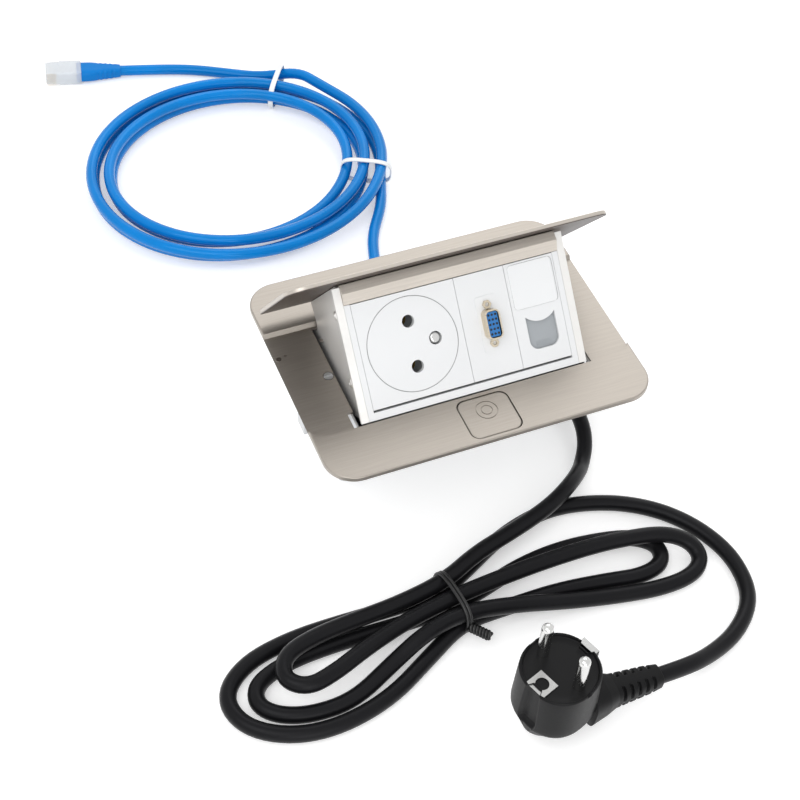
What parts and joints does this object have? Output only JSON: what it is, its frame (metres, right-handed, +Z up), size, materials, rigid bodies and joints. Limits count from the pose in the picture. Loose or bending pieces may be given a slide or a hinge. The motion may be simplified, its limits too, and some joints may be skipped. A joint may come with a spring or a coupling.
{
  "type": "pop-up desk socket",
  "caption": "Recessed pop-up desk socket with a hinged lid that carries a mains outlet, a video and a data port, a release button, tied mains cord and coiled data cord.",
  "frame": {"origin": "centre of the housing bounding box on the plane its floor stands on", "axes": "+X to the right, +Y to the rear (hinge side), +Z up"},
  "size_m": [0.2298, 0.475, 0.1135],
  "materials": {
    "satin_nickel": "satin nickel, fine grain",
    "edge_metal": "bright sheet edge",
    "zinc_steel": "zinc plated",
    "spring_steel": "drawn wire",
    "magnet_plating": "nickel plated",
    "gasket_foam": "closed-cell foam",
    "lid_lining": "dark brown, satin",
    "module_white": "semi-gloss white",
    "window_clear": "clear",
    "shutter_grey": "satin grey",
    "insert_blue": "satin blue",
    "shell_metal": "warm nickel shell",
    "pin_chrome": "polished",
    "contact_brass": "plain",
    "housing_black": "fine texture",
    "cord_black": "satin sheath",
    "cord_blue": "glossy sheath",
    "tie_white": "thin strap"
  },
  "bodies": {
    "base": {"back_box": "zinc_steel", "button_guide": "housing_black", "button_spring": "spring_steel", "catch_magnets": "magnet_plating", "coil_ties": "tie_white", "cord_gland": "housing_black", "cord_tie": "cord_black", "damper_body": "housing_black", "data_cord_coil": "cord_blue", "data_cord_lead": "cord_blue", "data_cord_tail": "cord_blue", "data_gland": "housing_black", "data_plug": "window_clear", "data_plug_boot": "cord_blue", "data_plug_contacts": "contact_brass", "desk_gasket": "gasket_foam", "flange_frame": "satin_nickel", "frame_screws": "zinc_steel", "plug_body": "housing_black", "plug_earth": "pin_chrome", "plug_pins": "pin_chrome", "plug_relief": "housing_black", "power_cord_hank": "cord_black", "power_cord_lead": "cord_black", "power_cord_tail": "cord_black", "terminal_box": "housing_black", "terminal_cover": "housing_black", "torsion_spring": "spring_steel"},
    "carrier": {"hinge_shaft": "spring_steel", "damper_sector": "housing_black", "release_crank": "zinc_steel", "lid_plate": "satin_nickel", "lid_panel": "lid_lining", "lip_profile": "satin_nickel", "side_plate_left": "edge_metal", "side_plate_right": "edge_metal", "bottom_bar": "module_white", "filler_strips": "module_white", "rear_cover": "housing_black", "outlet_plate": "module_white", "outlet_body": "module_white", "outlet_contacts": "contact_brass", "earth_pin": "pin_chrome", "disc_spring": "spring_steel", "video_plate": "module_white", "video_shell": "shell_metal", "video_insert": "insert_blue", "video_screws": "shell_metal", "data_plate": "module_white", "label_window": "window_clear", "data_jack": "housing_black"},
    "button": {"release_button": "satin_nickel"},
    "release_slider": {"release_bar": "zinc_steel"},
    "screw_left": {"clamp_screw_left": "zinc_steel"},
    "screw_right": {"clamp_screw_right": "zinc_steel"},
    "claw_left": {"clamp_claw_left": "zinc_steel"},
    "claw_right": {"clamp_claw_right": "zinc_steel"},
    "pinion": {"damper_pinion": "housing_black"},
    "disc": {"socket_disc": "module_white"},
    "shutter": {"data_shutter": "shutter_grey"}
  },
  "joints": [
    {"name": "pop_up", "type": "hinge", "parent": "base", "child": "carrier", "pos_m": [0, 0.0384, 0.0534], "axis": [1, 0, 0], "range_deg": [0, 52.6], "stiffness_Nm_per_rad": 0.1, "springref_deg": -114.59},
    {"name": "button_press", "type": "slide", "parent": "base", "child": "button", "axis": [0, 0, -1], "range_m": [0, 0.002], "stiffness_N_per_m": 600, "springref_m": -0.0015, "deforming": ["button_spring"]},
    {"name": "release_slide", "type": "slide", "parent": "base", "child": "release_slider", "axis": [0, -1, 0], "range_m": [0, 0.002]},
    {"name": "clamp_turn_left", "type": "hinge", "parent": "base", "child": "screw_left", "pos_m": [-0.0539, -0.0005, 0.05], "axis": [0, 0, 1], "range_deg": [-2401, 4801]},
    {"name": "claw_climb_left", "type": "slide", "parent": "base", "child": "claw_left", "axis": [0, 0, 1], "range_m": [-0.006, 0.003]},
    {"name": "clamp_turn_right", "type": "hinge", "parent": "base", "child": "screw_right", "pos_m": [0.0539, -0.0005, 0.05], "axis": [0, 0, 1], "range_deg": [-2401, 4801]},
    {"name": "claw_climb_right", "type": "slide", "parent": "base", "child": "claw_right", "axis": [0, 0, 1], "range_m": [-0.006, 0.003]},
    {"name": "damper_spin", "type": "hinge", "parent": "base", "child": "pinion", "pos_m": [-0.0538, 0.0384, 0.0374], "axis": [1, 0, 0], "range_deg": [-157.81, 0]},
    {"name": "disc_push", "type": "slide", "parent": "carrier", "child": "disc", "axis": [0, 0.7524, -0.6587], "range_m": [0, 0.009], "stiffness_N_per_m": 300, "springref_m": -0.004, "deforming": ["disc_spring"]},
    {"name": "shutter_slide", "type": "slide", "parent": "carrier", "child": "shutter", "axis": [0, 0.6587, 0.7524], "range_m": [0, 0.013]}
  ],
  "couplings": [
    {"joint": "release_slide", "follows": "button_press", "ratio": 1},
    {"joint": "clamp_turn_left", "follows": "claw_climb_left", "rad_per_m": -13963},
    {"joint": "clamp_turn_right", "follows": "claw_climb_right", "rad_per_m": -13963},
    {"joint": "damper_spin", "follows": "pop_up", "ratio": -3}
  ]
}
